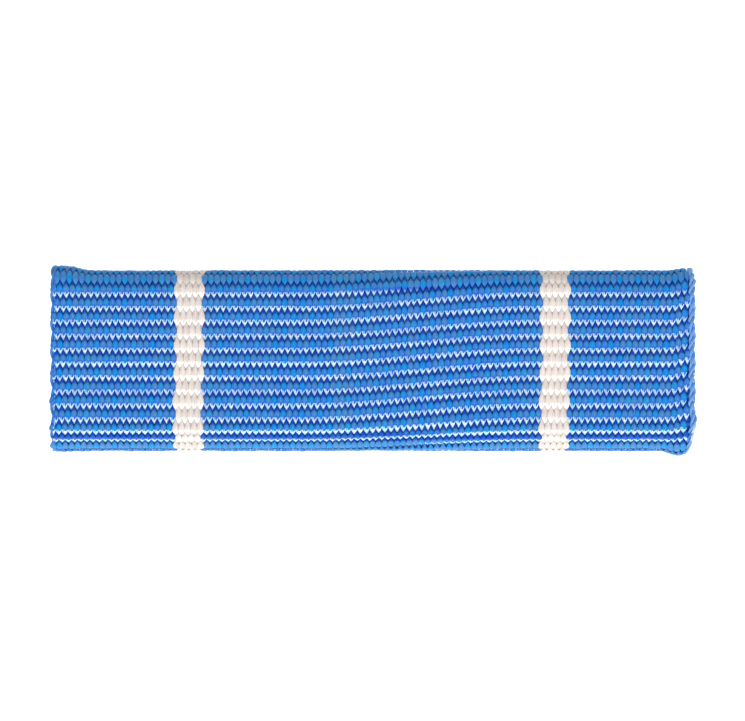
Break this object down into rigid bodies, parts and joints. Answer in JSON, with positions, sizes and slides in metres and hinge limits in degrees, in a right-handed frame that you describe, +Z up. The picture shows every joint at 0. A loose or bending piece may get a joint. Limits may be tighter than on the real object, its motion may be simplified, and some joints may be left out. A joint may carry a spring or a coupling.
{
  "type": "service ribbon bar",
  "caption": "Flat uniform ribbon bar: striped grosgrain ribbon folded round a metal blank that slides on a mounting bar with pin posts and pinch clutches.",
  "frame": {"origin": "middle of the mounting bar's rear face, which lies on the garment, halfway between the two posts", "axes": "+X along the bar, to the right as the ribbon is seen from the front; +Y into the garment, along the posts; +Z up"},
  "size_m": [0.0348, 0.011, 0.01],
  "materials": {
    "ribbon_blue": "warp-faced grosgrain, satin yarn",
    "ribbon_white": "warp-faced grosgrain, satin yarn",
    "ribbon_selvedge": "knitted selvedge, satin yarn",
    "blank_brass": "stamped sheet, dull",
    "bar_nickel": "nickel plated, satin",
    "clutch_brass": "stamped and tumbled, bright",
    "spring_steel": "drawn spring wire"
  },
  "bodies": {
    "bar": {"mounting_bar": "bar_nickel", "post_left": "bar_nickel", "post_right": "bar_nickel"},
    "ribbon": {"ribbon_blank": "blank_brass", "ribbon_blue_left": "ribbon_blue", "ribbon_white_left": "ribbon_white", "ribbon_blue_centre": "ribbon_blue", "ribbon_white_right": "ribbon_white", "ribbon_blue_right": "ribbon_blue", "ribbon_selvedge": "ribbon_selvedge"},
    "clutch_left": {"clutch_left_base": "clutch_brass", "clutch_left_housing": "clutch_brass", "clutch_left_spring": "spring_steel"},
    "clutch_left_wing_inner": {"clutch_left_wing_inner": "clutch_brass"},
    "clutch_left_wing_outer": {"clutch_left_wing_outer": "clutch_brass"},
    "clutch_right": {"clutch_right_base": "clutch_brass", "clutch_right_housing": "clutch_brass", "clutch_right_spring": "spring_steel"},
    "clutch_right_wing_inner": {"clutch_right_wing_inner": "clutch_brass"},
    "clutch_right_wing_outer": {"clutch_right_wing_outer": "clutch_brass"}
  },
  "joints": [
    {"name": "ribbon_slide", "type": "slide", "parent": "bar", "child": "ribbon", "axis": [1, 0, 0], "range_m": [-0.036, 0.036]},
    {"name": "clutch_left_slide", "type": "slide", "parent": "bar", "child": "clutch_left", "axis": [0, 1, 0], "range_m": [-0.0022, 0.0075]},
    {"name": "clutch_left_wing_inner_hinge", "type": "hinge", "parent": "clutch_left", "child": "clutch_left_wing_inner", "pos_m": [-0.0089, 0.00465, 0], "axis": [0, 0, 1], "range_deg": [0, 10], "stiffness_Nm_per_rad": 0.002},
    {"name": "clutch_left_wing_outer_hinge", "type": "hinge", "parent": "clutch_left", "child": "clutch_left_wing_outer", "pos_m": [-0.0131, 0.00465, 0], "axis": [0, 0, -1], "range_deg": [0, 10]},
    {"name": "clutch_right_slide", "type": "slide", "parent": "bar", "child": "clutch_right", "axis": [0, 1, 0], "range_m": [-0.0022, 0.0075]},
    {"name": "clutch_right_wing_inner_hinge", "type": "hinge", "parent": "clutch_right", "child": "clutch_right_wing_inner", "pos_m": [0.0089, 0.00465, 0], "axis": [0, 0, -1], "range_deg": [0, 10], "stiffness_Nm_per_rad": 0.002},
    {"name": "clutch_right_wing_outer_hinge", "type": "hinge", "parent": "clutch_right", "child": "clutch_right_wing_outer", "pos_m": [0.0131, 0.00465, 0], "axis": [0, 0, 1], "range_deg": [0, 10]}
  ],
  "couplings": [
    {"joint": "clutch_left_wing_outer_hinge", "follows": "clutch_left_wing_inner_hinge", "ratio": 1},
    {"joint": "clutch_right_wing_outer_hinge", "follows": "clutch_right_wing_inner_hinge", "ratio": 1}
  ]
}
